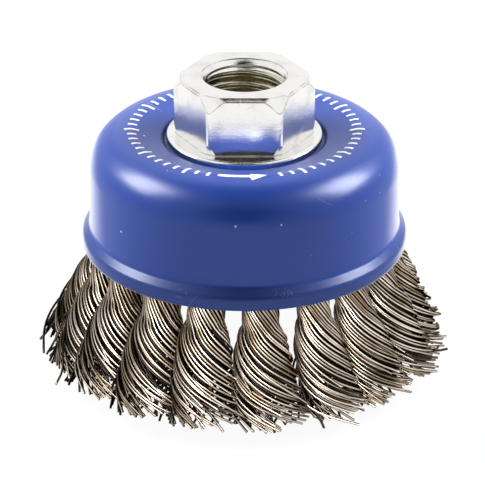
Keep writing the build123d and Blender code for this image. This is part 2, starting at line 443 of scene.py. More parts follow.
# %% [markdown]
# Every finish starts from one Principled shader and is then made uneven. Cloudy noise on the piece's own
# coordinates does most of that, because it needs no flat map and sticks to the piece when it moves.
# `patches` cuts such noise at a soft edge, for wear that comes in spots, `uneven` lets a number wander
# between two limits, and `relief` piles noises of several sizes up to a height. `stored` reads a number
# that a mesh carries.

# %% Helpers for finishes
def new_finish(name):
    """A material with a Principled shader: the material, its tree and the shader."""
    material, tree = new_material(name)
    shader = place(tree, "ShaderNodeBsdfPrincipled")
    place(tree, "ShaderNodeOutputMaterial", {"Surface": shader.outputs[0]})
    return material, tree, shader


def mask(tree, group, numbers):
    """The mask of a shared wear group, with this material's own numbers."""
    return Field(tree, result(tree, "ShaderNodeGroup", numbers, node_tree=group))


def noise(tree, scale, detail=2):
    """Cloudy noise from 0 to 1 on the object's own coordinates."""
    where = place(tree, "ShaderNodeTexCoord").outputs["Object"]
    numbers = {"Vector": where, "Scale": scale, "Detail": detail}
    return Field(tree, result(tree, "ShaderNodeTexNoise", numbers))


def patches(tree, edge, scale, detail=2):
    """Spots with a soft edge: 0 where the noise is at its first number, 1 where it is at its second."""
    return fade(tree, noise(tree, scale, detail), *edge)


def uneven(tree, limits, scale, detail=2):
    """A number that wanders between two limits."""
    low, high = limits
    return noise(tree, scale, detail) * (high - low) + low


def relief(tree, shares):
    """The height of several noises together, from the share of each noise's scale."""
    first, *others = [noise(tree, scale) * share for scale, share in shares.items()]
    return sum(others, first)


def stored(tree, name):
    """A number that the mesh carries on its points."""
    return Field(tree, place(tree, "ShaderNodeAttribute", attribute_name=name).outputs["Fac"])


def bump(tree, height, depth):
    """A normal that follows a height field of a given depth."""
    return result(tree, "ShaderNodeBump", {"Height": height, "Distance": depth})


print("helpers: new_finish, mask, noise, patches, uneven, relief, stored, bump")

# %% [markdown]
# The cup is sprayed with a smooth blue gloss, and the charm of old paint is in its small faults: pale
# scratches from the workshop drawer, faint scuffs and a few grains of dust. Knocks come in clusters, so the
# scratches and the scuffs are kept to patches of the cup.

# %% Wear of the paint
STROKES = {"Scale": 190, "Length": 0.45, "Width": 0.012, "Share": 0.2}
STROKE_EDGE = (0.46, 0.6)
SCUFFS = {"Scale": 1700, "Length": 0.9, "Width": 0.09, "Share": 0.75}
SCUFF_EDGE = (0.66, 0.72)
SCUFF_STRENGTH = 0.4
DUST = {"Scale": 420, "Size": 0.11, "Share": 0.14}


def paint_wear(tree):
    """The masks of the scratches with the scuffs, and of the dust."""
    strokes = mask(tree, short_scratches, STROKES) * patches(tree, STROKE_EDGE, scale=70)
    scuffs = mask(tree, short_scratches, SCUFFS) * patches(tree, SCUFF_EDGE, scale=128) * SCUFF_STRENGTH
    return strokes.at_least(scuffs), mask(tree, dust_specks, DUST)


print("wear of the paint: scratches and scuffs, and dust")

# %% [markdown]
# Paint is a colour under a clear skin, with a faint orange-peel ripple. Painted shade darkens it at the
# lip, a painted lightening lies on the level crown, and a painted sheen pales it where the wall turns out
# of sight. The gloss is kept low and broad, because the highlights on the shoulder are wide and soft.

# %% Cup paint
PAINT_DEEP = (0.011, 0.04, 0.233, 1)
PAINT_LIGHT = (0.015, 0.05, 0.29, 1)
PAINT_LIP_SHADED = (0.009, 0.034, 0.185, 1)
SCRATCH_PALE = (0.42, 0.46, 0.66, 1)
DUST_AND_SHEEN_PALE = (0.7, 0.72, 0.8, 1)
WEAR_STRENGTH = 0.8
LIP_SHADE = (4.6 * MM, 3.4 * MM)
CROWN_LEVEL = (0.85, 1.0)
CROWN_PAINTED_LIGHT = 0.04
RIM_SLANT = (0.6, 0.95)
RIM_STEEP = (0.75, 0.35)
RIM_PAINTED_SHEEN = 0.65
PAINT_ROUGHNESS = (0.25, 0.35)
SCRATCH_ROUGHNESS = 0.2
PEEL = {700: 0.5, 2600: 0.25}
PEEL_DEPTH = 0.02 * MM
SCRATCH_CUT = 0.6
DUST_RISE = 0.5
PAINT_SPECULAR = 0.3


def painted_light_and_sheen(tree, facing_up):
    """How much painted light the colour takes: a pale tint on the level crown, and a painted sheen on steep
    faces that are seen at a slant.
    """
    slant = place(tree, "ShaderNodeLayerWeight").outputs["Facing"]
    rim = fade(tree, slant, *RIM_SLANT) * fade(tree, facing_up, *RIM_STEEP)
    return (fade(tree, facing_up, *CROWN_LEVEL) * CROWN_PAINTED_LIGHT).at_least(rim * RIM_PAINTED_SHEEN)


def paint_finish():
    """Blue gloss with its wear, with painted shade at the lip and painted light on the crown and rim."""
    material, tree, shader = new_finish("cup_paint")
    scratches, dust = paint_wear(tree)
    spot = place(tree, "ShaderNodeTexCoord").outputs
    height_up = axes(tree, spot["Object"])[2]
    facing_up = axes(tree, spot["Normal"])[2]
    # Painted shade: the colour darkens towards the lip.
    lip_painted_shade = fade(tree, height_up, *(cup_low.z + edge for edge in LIP_SHADE))
    colour = blend(tree, noise(tree, scale=45, detail=3), PAINT_DEEP, PAINT_LIGHT)
    colour = blend(tree, lip_painted_shade, colour, PAINT_LIP_SHADED)
    # Painted light and sheen: the level crown and the slanted rim are paled.
    colour = blend(tree, painted_light_and_sheen(tree, facing_up), colour, DUST_AND_SHEEN_PALE)
    colour = blend(tree, scratches * WEAR_STRENGTH, colour, SCRATCH_PALE)
    colour = blend(tree, dust * WEAR_STRENGTH, colour, DUST_AND_SHEEN_PALE)
    height = relief(tree, PEEL) - scratches * SCRATCH_CUT + dust * DUST_RISE
    roughness = uneven(tree, PAINT_ROUGHNESS, scale=160, detail=3) + scratches * SCRATCH_ROUGHNESS
    fill(tree, shader, {
        "Base Color": colour,
        "Roughness": roughness,
        "Normal": bump(tree, height, PEEL_DEPTH),
        "Specular IOR Level": PAINT_SPECULAR,
    })
    return material


paint = paint_finish()
print("finish:", paint.name)

# %% [markdown]
# Pressed and turned pieces are all rings: a section carried round the axis. A screw modifier could spin a
# curve, but the nut's section changes with the angle, because a hexagon isn't round. So one function closes
# a ring from columns of points, and the cup and the nut both use it. Another one rounds the corners of a
# section, as a press or a lathe leaves them.

# %% Rings and rounded sections
def rounded_line(corners, radii, steps):
    """A line of (radius, height) points whose inner corners are arcs of so many steps."""
    line = [Vector(corners[0])]
    for before, corner, after, radius in zip(corners, corners[1:], corners[2:], radii):
        corner = Vector(corner)
        back = (Vector(before) - corner).normalized()
        ahead = (Vector(after) - corner).normalized()
        half_angle = back.angle(ahead) / 2
        centre = corner + (back + ahead).normalized() * radius / math.sin(half_angle)
        arm = corner + back * radius / math.tan(half_angle) - centre
        turns_left = ahead.x * back.y - ahead.y * back.x > 0
        sweep = (math.pi - 2 * half_angle) * (1 if turns_left else -1)
        line += [centre + Matrix.Rotation(sweep * i / steps, 2) @ arm for i in range(steps + 1)]
    return line + [Vector(corners[-1])]


def turned(line, angle):
    """A section's points, carried to an angle about the spindle axis."""
    return [(p.x * math.cos(angle), p.x * math.sin(angle), p.y) for p in line]


def ring_mesh(name, columns):
    """A closed smooth mesh from closed columns of points round the axis, with its faces outwards."""
    rows = len(columns[0])
    faces = []
    for c in range(len(columns)):
        here = c * rows
        there = (c + 1) % len(columns) * rows
        for r in range(rows):
            up = (r + 1) % rows
            faces.append((here + r, there + r, there + up, here + up))
    mesh = bpy.data.meshes.new(name)
    mesh.from_pydata([point for column in columns for point in column], [], faces)
    shell = bmesh.new()
    shell.from_mesh(mesh)
    if shell.calc_volume(signed=True) < 0:
        bmesh.ops.reverse_faces(shell, faces=shell.faces)
    shell.to_mesh(mesh)
    shell.free()
    mesh.shade_smooth()
    return mesh


print("helpers: rounded_line, turned, ring_mesh")

# %% [markdown]
# A finished piece is a plain mesh that takes the place of one solid of the frame. Modifiers are settled
# first, because the frame takes meshes as they are. Flat faces stay flat in the light when the normals lean
# to the larger faces, which a modifier does better than splitting edges: the small bevels between them then
# shade as soft lines.

# %% Finished pieces
def settle(piece):
    """Turns the modifiers of a piece into a plain mesh, and removes them."""
    graph = bpy.context.evaluated_depsgraph_get()
    mesh = bpy.data.meshes.new_from_object(piece.evaluated_get(graph), depsgraph=graph)
    piece.modifiers.clear()
    piece.data = mesh
    mesh.name = piece.name
    return piece


def hard_piece(name, columns, material):
    """A ring with flat faces that stay flat in the light."""
    mesh = ring_mesh(name, columns)
    mesh.materials.append(material)
    piece = new_object(name, mesh)
    piece.modifiers.new("flat_faces", "WEIGHTED_NORMAL").keep_sharp = True
    return settle(piece)


def hand_over(piece, slot, *nodes):
    """Puts a finished piece on the frame, in place of the solids that it stands for."""
    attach(piece, "root")
    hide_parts(*nodes)
    print(piece.name, "stands for", ", ".join(nodes), "with", len(piece.data.polygons), "faces")


print("helpers: settle, hard_piece, hand_over")

# %% [markdown]
# Sheet metal has the same thickness all along. So its section is drawn once, for the outer skin, and moved
# inwards by the thickness for the inner one. A Solidify modifier could do that to the whole mesh, but the
# bends would not stay true arcs: on the inner skin a bend is tighter or wider by the thickness of the
# sheet.

# %% Sheet metal
TIGHTEST_BEND = 0.05 * MM


def moved_inwards(points, distance):
    """The corners of a line moved to its right-hand side."""
    moved = []
    for i, point in enumerate(points):
        into = Vector(point) - Vector(points[i - 1]) if i else Vector(points[1]) - Vector(point)
        out = Vector(points[i + 1]) - Vector(point) if i + 1 < len(points) else into
        into.normalize()
        out.normalize()
        normal = Vector((into.y + out.y, -into.x - out.x)).normalized()
        moved.append(Vector(point) + normal * distance / (normal.x * out.y - normal.y * out.x))
    return moved


def inner_bends(points, bends, thickness):
    """The bends of the inner skin: tighter where the sheet turns towards it, wider where it turns away."""
    made = []
    for before, corner, after, bend in zip(points, points[1:], points[2:], bends):
        into = Vector(corner) - Vector(before)
        out = Vector(after) - Vector(corner)
        turns_right = into.x * out.y - into.y * out.x < 0
        made.append(max(bend - thickness, TIGHTEST_BEND) if turns_right else bend + thickness)
    return made


print("helpers: moved_inwards, inner_bends")

# %% [markdown]
# The cup is one disc of sheet steel, drawn deep in a press. From the middle out it has a recess for the
# nut's flange, a dished crown, a wide round shoulder, a wall with hardly any draft, and a bead that
# stiffens the lip. Each bend has a name, in the order in which the section meets it.

# %% Section of the cup
SHEET = 1.2 * MM
SPIGOT_HOLE_R = 9.6 * MM
RECESS_R = 14.4 * MM
RECESS_DEPTH = 2.2 * MM
DISH_R = 14.9 * MM
DISH_DROP = 1.3 * MM
CROWN_R = 20.15 * MM
WALL_R = 28.0 * MM
WALL_DRAFT = 0.15 * MM
WALL_FOOT = 4.3 * MM
BEAD_HEIGHT = 2.6 * MM
CURL_HEIGHT = 0.5 * MM
LIP_CURL = 0.7 * MM
CUP_BENDS = {
    "recess floor": 0.4 * MM,
    "recess edge": 0.5 * MM,
    "dish": 3.5 * MM,
    "shoulder": 7.2 * MM,
    "wall foot": 1.2 * MM,
    "bead": 1.5 * MM,
    "curl": 1.3 * MM,
}
EDGE_ROUND = 0.35 * MM
BEND_STEPS = 10

lip_z = cup_low.z
crown_z = cup_high.z
lip_r = cup_high.x
recess_z = crown_z - RECESS_DEPTH
cup_skin = [
    (SPIGOT_HOLE_R, recess_z),
    (RECESS_R, recess_z),
    (DISH_R, crown_z - DISH_DROP),
    (CROWN_R, crown_z),
    (WALL_R - WALL_DRAFT, crown_z),
    (WALL_R, lip_z + WALL_FOOT),
    (lip_r, lip_z + BEAD_HEIGHT),
    (lip_r, lip_z + CURL_HEIGHT),
    (lip_r - LIP_CURL, lip_z),
]
outer_bends = list(CUP_BENDS.values())
cup_corners = cup_skin + moved_inwards(cup_skin, SHEET)[::-1]
cup_radii = outer_bends + [EDGE_ROUND, EDGE_ROUND] + inner_bends(cup_skin, outer_bends, SHEET)[::-1]
cup_line = rounded_line(cup_corners, cup_radii, BEND_STEPS)
print("cup section:", len(cup_line), "points,", SHEET / MM, "mm sheet")

# %% [markdown]
# The section goes round in enough columns that the lip looks round at any size. The finished cup joins the
# pieces that the shine lamps reach, and takes the place of its solid.

# %% Cup
CUP_COLUMNS = 192

cup_turns = [2 * math.pi * i / CUP_COLUMNS for i in range(CUP_COLUMNS)]
cup = hard_piece("painted_cup", [turned(cup_line, angle) for angle in cup_turns], paint)
shiny_pieces.objects.link(cup)
hand_over(cup, "cup_paint", "cup_shell")

# %% [markdown]
# White marks are printed round the crown: a ring of plain ticks and an arrow for the sense of rotation. A
# material could paint them, but marks with a crisp edge are easier as thin pieces with a finish of their
# own. Handling rubs the ink off in small spots, where the paint shows again.

# %% Ink
INK = (0.8, 0.82, 0.86, 1)
RUBBED_EDGE = (0.62, 0.7)
RUBBED_STRENGTH = 0.8
INK_ROUGHNESS = 0.35
RUBBED_ROUGHNESS = 0.2


def ink_finish():
    """White ink, rubbed off in small spots."""
    material, tree, shader = new_finish("mark_ink")
    rubbed = patches(tree, RUBBED_EDGE, scale=900, detail=3)
    colour = blend(tree, rubbed * RUBBED_STRENGTH, INK, PAINT_LIGHT)
    fill(tree, shader, {"Base Color": colour, "Roughness": rubbed * RUBBED_ROUGHNESS + INK_ROUGHNESS})
    return material


ink = ink_finish()
print("finish:", ink.name)

# %% [markdown]
# Geometry Nodes make what repeats: first the ticks, and later the wires. A tree is built like a material,
# with named inputs for its sizes. It has to end in real faces with their finish, because the export drops
# instances.

# %% Helpers for Geometry Nodes
def new_maker(name, numbers):
    """A Geometry Nodes tree with number inputs: the tree, their identifiers, and the inputs as fields."""
    tree = bpy.data.node_groups.new(name, "GeometryNodeTree")
    tree.is_modifier = True
    tree.interface.new_socket(name="Geometry", in_out="OUTPUT", socket_type="NodeSocketGeometry")
    return tree, *add_inputs(tree, numbers)


def vector(tree, x, y, z):
    """Three numbers or fields as one vector."""
    return result(tree, "ShaderNodeCombineXYZ", {0: x, 1: y, 2: z})


def spots(tree):
    """The place of each point, as three fields."""
    return axes(tree, result(tree, "GeometryNodeInputPosition"))


def moved(tree, geometry, spot):
    """Puts every point of a shape where a formula says."""
    return result(tree, "GeometryNodeSetPosition", {"Geometry": geometry, "Position": spot})


def real(tree, geometry):
    """Turns instances into faces or lines of their own."""
    return result(tree, "GeometryNodeRealizeInstances", {"Geometry": geometry})


def joined(tree, *parts):
    """Several shapes as one."""
    node = place(tree, "GeometryNodeJoinGeometry")
    for part in parts:
        tree.links.new(part, node.inputs[0])
    return node.outputs[0]


def end_tree(tree, geometry, material):
    """Ends a tree in real faces with their finish."""
    done = {"Geometry": real(tree, geometry), "Material": material}
    place(tree, "NodeGroupOutput", {0: result(tree, "GeometryNodeSetMaterial", done)})


print("helpers: new_maker, vector, spots, moved, real, joined, end_tree")

# %% [markdown]
# Each tick is a thin slab on a circle, and every fifth one is long. The arrow is one more slab, bent along
# the same circle, in a gap that the ticks leave. At first they all lie flat at the height of the floor.

# %% Ticks and arrow
TICK_STEPS = 6
LONG_TICK_EVERY = 5
ARROW_STEPS = 33
ARROW_HEAD = 0.68
ARROW_BARB = 3


def slab(tree, steps_x, steps_y, size):
    """A box with so many points along x and along y."""
    numbers = {"Size": size, "Vertices X": steps_x, "Vertices Y": steps_y, "Vertices Z": 2}
    return result(tree, "GeometryNodeMeshCube", numbers)


def tick_ring(tree, size):
    """Slabs on a circle, some of them long, with a gap for the arrow."""
    numbers = {"Vertices": size["Ticks"], "Radius": size["Ring Radius"]}
    circle = result(tree, "GeometryNodeMeshCircle", numbers)
    number = Field(tree, result(tree, "GeometryNodeInputIndex"))
    angle = number / size["Ticks"] * (2 * math.pi)
    away = (angle - size["Arrow Angle"] + math.pi) % (2 * math.pi) - math.pi
    is_long = (number % LONG_TICK_EVERY).below(0.5)
    length = is_long * (1 - size["Short Tick"]) + size["Short Tick"]
    tick = slab(tree, TICK_STEPS, 2, vector(tree, size["Tick Length"], size["Tick Width"], size["Ink"] * 2))
    copies = result(tree, "GeometryNodeInstanceOnPoints", {
        "Points": circle,
        "Selection": abs(away).above(size["Arrow Gap"]),
        "Instance": tick,
        "Rotation": vector(tree, 0, 0, angle),
        "Scale": vector(tree, length, 1, 1),
    })
    return real(tree, copies)


def bent_arrow(tree, size):
    """A slab bent along the circle: a shaft that widens and then runs to a point."""
    x, y, z = spots(tree)
    along = x + 0.5
    head = along.above(ARROW_HEAD)
    taper = (1 - along) / (1 - ARROW_HEAD) * ARROW_BARB
    reach = size["Ring Radius"] + y * size["Arrow Width"] * (1 - head + head * taper)
    angle = size["Arrow Angle"] + x * size["Arrow Span"]
    spot = vector(tree, reach * angle.cos(), reach * angle.sin(), z * size["Ink"] * 2)
    return moved(tree, slab(tree, ARROW_STEPS, TICK_STEPS, (1, 1, 1)), spot)


print("helpers: slab, tick_ring, bent_arrow")

# %% [markdown]
# Ink has hardly any thickness, but it has to follow the dish of the crown. So a ray drops every point of
# the slabs on to the cup. A Shrinkwrap modifier would press them flat, while the ray leaves each slab its
# thickness.

# %% Ring of marks
MARK_SIZES = {
    "Ticks": 60,
    "Ring Radius": 20.2 * MM,
    "Tick Length": 2.7 * MM,
    "Tick Width": 0.55 * MM,
    "Short Tick": 0.62,
    "Ink": 0.04 * MM,
    "Arrow Angle": math.radians(-91),
    "Arrow Span": math.radians(24),
    "Arrow Width": 1.1 * MM,
    "Arrow Gap": math.radians(16),
}


def marks_tree(ground):
    """The ticks and the arrow, dropped on to the crown of the cup."""
    tree, _, size = new_maker("ring_of_marks", MARK_SIZES)
    flat = joined(tree, tick_ring(tree, size), bent_arrow(tree, size))
    x, y, z = spots(tree)
    hit = place(tree, "GeometryNodeRaycast", {
        "Target Geometry": place(tree, "GeometryNodeObjectInfo", {"Object": ground}).outputs["Geometry"],
        "Source Position": vector(tree, x, y, 2 * crown_z),
        "Ray Direction": (0, 0, -1),
    })
    ground_z = axes(tree, hit.outputs["Hit Position"])[2]
    end_tree(tree, moved(tree, flat, vector(tree, x, y, ground_z + z)), ink)
    return tree


marks = new_object("printed_marks", bpy.data.meshes.new("marks"))
marks.modifiers.new("print", "NODES").node_group = marks_tree(cup)
settle(marks)
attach(marks, "root")
print("marks:", len(marks.data.polygons), "faces")

# %% [markdown]
# The nut is forged, turned and zinc plated. Bright plating is nearly a mirror with a fine grain, so it
# shows the white room in its upper half and the blue crown in its lower half, and the grain breaks the line
# between them into speckle. In the bore the plating is thin and has a brown, oily tint. Thin dark lines of
# painted shade run along four edges. Two masks that are stored on the mesh, `bore` and `edge`, say where.

# %% Nut plating
ZINC = (0.9, 0.89, 0.865, 1)
ZINC_DULL = (0.77, 0.76, 0.735, 1)
DULL_EDGE = (0.45, 0.75)
BORE_TINT = (0.6, 0.57, 0.43, 1)
EDGE_SHADE_COLOUR = (0.06, 0.05, 0.035, 1)
EDGE_SHADE_SPOTS = (0.3, 0.6)
EDGE_SHADE_STRENGTH = 0.6
NUT_SCRATCHES = {"Scale": 300, "Length": 0.45, "Width": 0.012, "Share": 0.3}
NUT_CUT = 0.3
ZINC_ROUGHNESS = (0.07, 0.19)
EDGE_SHADE_ROUGHNESS = 0.3
GRAIN = {4200: 0.65, 1800: 0.2}
GRAIN_DEPTH = 0.035 * MM


def plating_finish():
    """Bright zinc with a fine grain, tinted in the bore, with painted dark lines of shade along its edges.
    """
    material, tree, shader = new_finish("nut_plating")
    # Painted shade: thin dark lines in spots along four creases, which also make the plating rougher there.
    edge_shade = stored(tree, "edge") * patches(tree, EDGE_SHADE_SPOTS, scale=500, detail=3)
    colour = blend(tree, patches(tree, DULL_EDGE, scale=260, detail=4), ZINC, ZINC_DULL)
    colour = blend(tree, stored(tree, "bore"), colour, BORE_TINT)
    colour = blend(tree, edge_shade * EDGE_SHADE_STRENGTH, colour, EDGE_SHADE_COLOUR)
    height = relief(tree, GRAIN) - mask(tree, short_scratches, NUT_SCRATCHES) * NUT_CUT
    roughness = uneven(tree, ZINC_ROUGHNESS, scale=900, detail=3) + edge_shade * EDGE_SHADE_ROUGHNESS
    fill(tree, shader, {
        "Base Color": colour,
        "Roughness": roughness,
        "Normal": bump(tree, height, GRAIN_DEPTH),
        "Metallic": 1,
    })
    return material


plating = plating_finish()
print("finish:", plating.name)

# %% [markdown]
# Six flats make the hexagon, with corners that are only slightly rounded. A narrow bevel runs along the top
# of each flat, and steep cones trim the corners at the top and at the foot, as forging leaves them. Each
# column of the ring meets these faces at its own height, so the creases run along the mesh and stay crisp.

# %% Hexagon
HEX_SIDES = 6
SIXTH = 2 * math.pi / HEX_SIDES
FLAT_R = 22.225 / 2 * MM
HEX_CORNER = 1.4 * MM
HEX_HEIGHT = 10.9 * MM
TOP_BEVEL = 0.6 * MM
CROWN_MARGIN = 0.3 * MM
CROWN_SLOPE = math.tan(math.radians(67))
FOOT_MARGIN = 1.1 * MM
FOOT_SLOPE = math.tan(math.radians(78))
FOOT_LINE = 0.4 * MM

nut_top = nut_high.z
flange_z = nut_top - HEX_HEIGHT
trimmed_top_r = FLAT_R + CROWN_MARGIN
trimmed_foot_r = FLAT_R + FOOT_MARGIN
flat_half = (FLAT_R - HEX_CORNER) * math.tan(SIXTH / 2)
flat_end = math.atan(flat_half / FLAT_R)


def from_flat(angle):
    """The angle to the middle of the nearest flat. One flat faces -Y."""
    return abs((angle + math.pi / 2 + SIXTH / 2) % SIXTH - SIXTH / 2)


def hexagon_reach(angle):
    """Distance from the axis to the rounded hexagon at an angle."""
    aside = from_flat(angle)
    if aside <= flat_end:
        return FLAT_R / math.cos(aside)
    centre = (FLAT_R - HEX_CORNER) / math.cos(SIXTH / 2)
    off = SIXTH / 2 - aside
    return centre * math.cos(off) + math.sqrt(HEX_CORNER**2 - (centre * math.sin(off)) ** 2)


def hexagon_side(angle):
    """The corners of the hexagon's section: top face, bevel, trimmed corner, flat, trimmed foot."""
    reach = hexagon_reach(angle)
    slant = math.cos(from_flat(angle))
    bevel_run = 1 / slant
    face_r = (FLAT_R - TOP_BEVEL) / slant
    meeting = (trimmed_top_r - face_r) / (bevel_run - 1 / CROWN_SLOPE)
    # The bevel and the cone meet at some drop. Where the flat comes first, the point stands half way.
    bevel_drop = min(max(meeting, 0), TOP_BEVEL / 2 if meeting > TOP_BEVEL else TOP_BEVEL)
    drop = max(TOP_BEVEL, (reach - trimmed_top_r) * CROWN_SLOPE)
    rise = max(FOOT_LINE, (reach - trimmed_foot_r) * FOOT_SLOPE)
    top_r = min(face_r, trimmed_top_r)
    return [
        (top_r, nut_top),
        (top_r + bevel_drop * bevel_run, nut_top - bevel_drop),
        (reach, nut_top - drop),
        (reach, flange_z + rise),
        (min(reach, trimmed_foot_r), flange_z),
    ]


print("hexagon:", round(hexagon_reach(-math.pi / 2) * 2 / MM, 2), "mm across flats")

# %% [markdown]
# No real edge is a line. `softened` breaks each crease of the hexagon with a small bevel, which catches the
# light as a thin bright line. The bore opens in a flared mouth, and `mouth_reach` says how wide it is at a
# depth below the face.

# %% Soft edges and the mouth of the bore
BORE_R = 6.75 * MM
BORE_CHAMFER = 0.87 * MM
MOUTH_DEPTH = 1.7 * MM
MOUTH_FLARE = 1.6
EDGE_SOFT = 0.22 * MM
SOFT_SHARE = 0.3


def mouth_reach(depth):
    """Distance from the axis to the flared mouth of the bore, at a depth below its face."""
    return BORE_R + BORE_CHAMFER * max(1 - depth / MOUTH_DEPTH, 0) ** MOUTH_FLARE


def softened(points):
    """A line whose inner corners are broken by a small bevel of three points."""
    line = [Vector(points[0])]
    for before, corner, after in zip(points, points[1:], points[2:]):
        corner = Vector(corner)
        back = Vector(before) - corner
        ahead = Vector(after) - corner
        start = corner + back * min(EDGE_SOFT / max(back.length, EDGE_SOFT), SOFT_SHARE)
        end = corner + ahead * min(EDGE_SOFT / max(ahead.length, EDGE_SOFT), SOFT_SHARE)
        line += [start, (start + end) / 4 + corner / 2, end]
    return line


print("mouth of the bore:", round(mouth_reach(0) * 2 / MM, 2), "mm wide")

# %% [markdown]
# Below the hexagon come the flange, and the spigot that is swaged over inside the cup. These parts are
# round, so their corners get arcs instead, as the cup's section does.

# %% Nut outline
FLANGE_RIM = 0.5 * MM
SPIGOT_R = 9.5 * MM
SWAGE_R = 10.8 * MM
SWAGE_THICKNESS = 1.6 * MM
SWAGE_ROUND = 0.7 * MM
EDGE_BREAK = 0.15 * MM
SPIGOT_FILLET = 0.1 * MM
NUT_STEPS = 4

nut_bottom = nut_low.z
flange_r = nut_high.x
mouth_r = BORE_R + BORE_CHAMFER


def nut_outline(angle):
    """The nut's outside at an angle, from the upper mouth of the bore round to the lower one."""
    rim = (flange_r - 2 * FLANGE_RIM, flange_z)
    below_mouth = (mouth_reach(MOUTH_DEPTH / 4), nut_top - MOUTH_DEPTH / 4)
    hexagon = softened([below_mouth, (mouth_r, nut_top), *hexagon_side(angle), rim])[1:]
    corners = [
        rim,
        (flange_r, flange_z),
        (flange_r, recess_z),
        (SPIGOT_R, recess_z),
        (SPIGOT_R, nut_bottom + SWAGE_THICKNESS),
        (SWAGE_R, nut_bottom + SWAGE_THICKNESS),
        (SWAGE_R, nut_bottom),
        (mouth_r, nut_bottom),
    ]
    radii = [FLANGE_RIM, EDGE_BREAK, SPIGOT_FILLET, SPIGOT_FILLET, EDGE_BREAK, SWAGE_ROUND]
    return hexagon + rounded_line(corners, radii, NUT_STEPS)


outside_rows = len(nut_outline(0))
print("nut outline:", outside_rows, "points at each angle")

# %% [markdown]
# The bore has a coarse thread, eleven turns to the inch. A thread could be swept along a helix and joined
# to the bore, but that leaves a seam. Here the bore's own points move in and out by the thread's shape,
# which depends only on height and angle. The thread runs out softly at both flared mouths.

# %% Thread in the bore
THREAD_PITCH = 25.4 / 11 * MM
THREAD_DEPTH = 1.15 * MM
THREAD_CREST = 0.16
THREAD_ROOT = 0.12
THREAD_RUN_OUT = 1.2 * MM
BORE_STEP = 0.12 * MM

bore_rows = round((nut_top - nut_bottom) / BORE_STEP)


def thread_reach(angle, z):
    """Distance from the axis to the thread at an angle and height."""
    turn = ((z - nut_bottom) / THREAD_PITCH - angle / (2 * math.pi)) % 1
    from_root = abs(2 * turn - 1)
    share = (1 - THREAD_CREST - from_root) / (1 - THREAD_CREST - THREAD_ROOT)
    to_end = min(nut_top - z, z - nut_bottom) - MOUTH_DEPTH / 2
    run_out = min(max(to_end / THREAD_RUN_OUT, 0), 1)
    return BORE_R + THREAD_DEPTH * min(max(share, 0), 1) * run_out


def bore_line(angle):
    """The bore's points at an angle, from bottom to top, with a chamfer at each mouth."""
    line = []
    for row in range(1, bore_rows - 1):
        z = nut_bottom + (nut_top - nut_bottom) * row / bore_rows
        mouth = mouth_reach(min(nut_top - z, z - nut_bottom))
        line.append(Vector((max(thread_reach(angle, z), mouth), z)))
    return line


print("thread:", round((nut_top - nut_bottom) / THREAD_PITCH, 1), "turns in", bore_rows, "rows")

# %% [markdown]
# The nut's columns stand closer together near the corners, where the bevel and the cones end, so that every
# crease has a column to run on. The two masks for the plating are then written row by row: inside the bore,
# and on the creases that get painted dark lines of shade.

# %% Nut
FLAT_COLUMNS = 5
CORNER_COLUMNS = 4
SOFT_POINTS = 3
SHADED_CORNERS = (0, 2, 3, 5)


def evenly(start, end, count):
    """So many angles from a start up to an end, which is left out."""
    return [start + (end - start) * i / count for i in range(count)]


bevel_end = math.acos(FLAT_R / (trimmed_top_r + TOP_BEVEL / CROWN_SLOPE))
face_end = math.acos((FLAT_R - TOP_BEVEL) / trimmed_top_r)
half_flat = evenly(0, bevel_end, FLAT_COLUMNS)
for start, end in ((bevel_end, face_end), (face_end, flat_end), (flat_end, SIXTH / 2)):
    half_flat += evenly(start, end, CORNER_COLUMNS)
flat_turns = sorted([-SIXTH / 2, *half_flat, *(-turn for turn in half_flat[1:])])
nut_turns = [k * SIXTH - math.pi / 2 + turn for k in range(HEX_SIDES) for turn in flat_turns]
nut_columns = [turned(nut_outline(angle) + bore_line(angle), angle) for angle in nut_turns]
nut = hard_piece("plated_nut", nut_columns, plating)

mouth_rows = math.ceil(MOUTH_DEPTH / BORE_STEP)
tinted_rows = bore_rows - 2 - 2 * mouth_rows
in_bore = [0.0] * (outside_rows + mouth_rows) + [1.0] * tinted_rows + [0.0] * mouth_rows
on_edge = [0.0] * len(in_bore)
# The creases that get painted dark lines of shade.
for corner in SHADED_CORNERS:
    on_edge[SOFT_POINTS * corner + 1] = 1.0
for label, rows in (("bore", in_bore), ("edge", on_edge)):
    nut.data.attributes.new(label, "FLOAT", "POINT").data.foreach_set("value", rows * len(nut_turns))
hand_over(nut, "nut_plating", "arbor_nut")

# %% [markdown]
# Inside the cup sit two plain steel pressings: the disc that the wire loops hang on, and the plate that
# backs the knots. Their solids already have the right shape and stay as they are. They only get a finish:
# steel with fine scratches and a little oil.

# %% Inner steel
STEEL = (0.46, 0.45, 0.43, 1)
STEEL_OILY = (0.3, 0.28, 0.25, 1)
OILY_EDGE = (0.4, 0.7)
STEEL_SCRATCHES = {"Scale": 220, "Length": 0.45, "Width": 0.015, "Share": 0.4}
STEEL_CUT = 0.5
STEEL_ROUGHNESS = (0.25, 0.5)
STEEL_GRAIN = {2200: 0.6}
STEEL_DEPTH = 0.02 * MM


def inner_finish():
    """Bare steel with fine scratches and a little oil."""
    material, tree, shader = new_finish("inner_steel")
    height = relief(tree, STEEL_GRAIN) - mask(tree, short_scratches, STEEL_SCRATCHES) * STEEL_CUT
    fill(tree, shader, {
        "Base Color": blend(tree, patches(tree, OILY_EDGE, scale=120, detail=4), STEEL, STEEL_OILY),
        "Roughness": uneven(tree, STEEL_ROUGHNESS, scale=500, detail=3),
        "Normal": bump(tree, height, STEEL_DEPTH),
        "Metallic": 1,
    })
    return material


inner_steel = inner_finish()
for name in ("knot_disc", "retaining_plate"):
    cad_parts[name].data.materials.clear()
    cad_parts[name].data.materials.append(inner_steel)
print("finish:", inner_steel.name)
